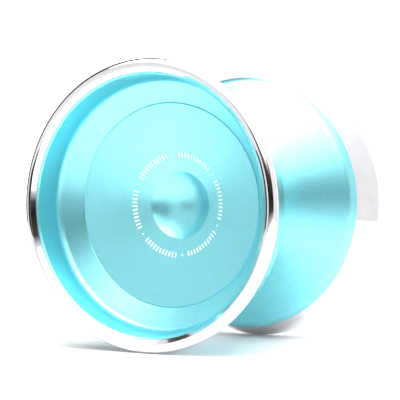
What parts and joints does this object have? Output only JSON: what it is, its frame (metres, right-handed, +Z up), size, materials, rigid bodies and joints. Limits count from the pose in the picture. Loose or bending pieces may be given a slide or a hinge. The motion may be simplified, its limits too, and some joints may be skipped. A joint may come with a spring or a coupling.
{
  "type": "yo yo",
  "caption": "Wide modern yo-yo with teal aluminium halves, polished steel rim rings, open cups and a shielded ball bearing between silicone response pads.",
  "frame": {"origin": "centre of the bearing, which is also the centre of the whole object", "axes": "+Y along the spin axis from half A to half B, +Z up as the object stands on its two rims"},
  "size_m": [0.055, 0.046, 0.055],
  "materials": {
    "anodised_aluminium": "bead-blasted and anodised teal, satin",
    "polished_steel": "mirror-polished stainless steel",
    "silicone": "matte milky silicone",
    "bearing_steel": "ground bearing steel",
    "cage_brass": "satin stamped brass",
    "blackened_steel": "black oxide steel"
  },
  "bodies": {
    "half_a": {"half_body_a": "anodised_aluminium", "rim_ring_a": "polished_steel", "response_pad_a": "silicone", "axle": "blackened_steel"},
    "inner_race": {"bearing_inner_race": "bearing_steel"},
    "half_b": {"half_body_b": "anodised_aluminium", "rim_ring_b": "polished_steel", "response_pad_b": "silicone"},
    "outer_race": {"bearing_outer_race": "bearing_steel", "bearing_shield_a": "bearing_steel", "bearing_shield_b": "bearing_steel", "snap_ring_a": "blackened_steel", "snap_ring_b": "blackened_steel"},
    "cage": {"ball_cage": "cage_brass"},
    "ball_1": {"bearing_ball_1": "bearing_steel"},
    "ball_2": {"bearing_ball_2": "bearing_steel"},
    "ball_3": {"bearing_ball_3": "bearing_steel"},
    "ball_4": {"bearing_ball_4": "bearing_steel"},
    "ball_5": {"bearing_ball_5": "bearing_steel"},
    "ball_6": {"bearing_ball_6": "bearing_steel"},
    "ball_7": {"bearing_ball_7": "bearing_steel"},
    "ball_8": {"bearing_ball_8": "bearing_steel"}
  },
  "joints": [
    {"name": "half_b_unscrew", "type": "hinge", "parent": "half_a", "child": "inner_race", "pos_m": [0, 0, 0], "axis": [0, 1, 0], "range_deg": [0, 1800]},
    {"name": "half_b_travel", "type": "slide", "parent": "inner_race", "child": "half_b", "axis": [0, 1, 0], "range_m": [0, 0.0035]},
    {"name": "outer_race_spin", "type": "hinge", "parent": "inner_race", "child": "outer_race", "pos_m": [0, 0, 0], "axis": [0, 1, 0], "continuous": true},
    {"name": "cage_spin", "type": "hinge", "parent": "inner_race", "child": "cage", "pos_m": [0, 0, 0], "axis": [0, 1, 0], "continuous": true},
    {"name": "ball_1_spin", "type": "hinge", "parent": "cage", "child": "ball_1", "pos_m": [0, 0, 0.00476], "axis": [0, 1, 0], "continuous": true},
    {"name": "ball_2_spin", "type": "hinge", "parent": "cage", "child": "ball_2", "pos_m": [0.00337, 0, 0.00337], "axis": [0, 1, 0], "continuous": true},
    {"name": "ball_3_spin", "type": "hinge", "parent": "cage", "child": "ball_3", "pos_m": [0.00476, 0, 0], "axis": [0, 1, 0], "continuous": true},
    {"name": "ball_4_spin", "type": "hinge", "parent": "cage", "child": "ball_4", "pos_m": [0.00337, 0, -0.00337], "axis": [0, 1, 0], "continuous": true},
    {"name": "ball_5_spin", "type": "hinge", "parent": "cage", "child": "ball_5", "pos_m": [0, 0, -0.00476], "axis": [0, 1, 0], "continuous": true},
    {"name": "ball_6_spin", "type": "hinge", "parent": "cage", "child": "ball_6", "pos_m": [-0.00337, 0, -0.00337], "axis": [0, 1, 0], "continuous": true},
    {"name": "ball_7_spin", "type": "hinge", "parent": "cage", "child": "ball_7", "pos_m": [-0.00476, 0, 0], "axis": [0, 1, 0], "continuous": true},
    {"name": "ball_8_spin", "type": "hinge", "parent": "cage", "child": "ball_8", "pos_m": [-0.00337, 0, 0.00337], "axis": [0, 1, 0], "continuous": true}
  ],
  "couplings": [
    {"joint": "half_b_travel", "follows": "half_b_unscrew", "m_per_rad": 0.00011141},
    {"joint": "cage_spin", "follows": "outer_race_spin", "ratio": 0.5834},
    {"joint": "ball_1_spin", "follows": "outer_race_spin", "ratio": 2.9157},
    {"joint": "ball_2_spin", "follows": "outer_race_spin", "ratio": 2.9157},
    {"joint": "ball_3_spin", "follows": "outer_race_spin", "ratio": 2.9157},
    {"joint": "ball_4_spin", "follows": "outer_race_spin", "ratio": 2.9157},
    {"joint": "ball_5_spin", "follows": "outer_race_spin", "ratio": 2.9157},
    {"joint": "ball_6_spin", "follows": "outer_race_spin", "ratio": 2.9157},
    {"joint": "ball_7_spin", "follows": "outer_race_spin", "ratio": 2.9157},
    {"joint": "ball_8_spin", "follows": "outer_race_spin", "ratio": 2.9157}
  ]
}
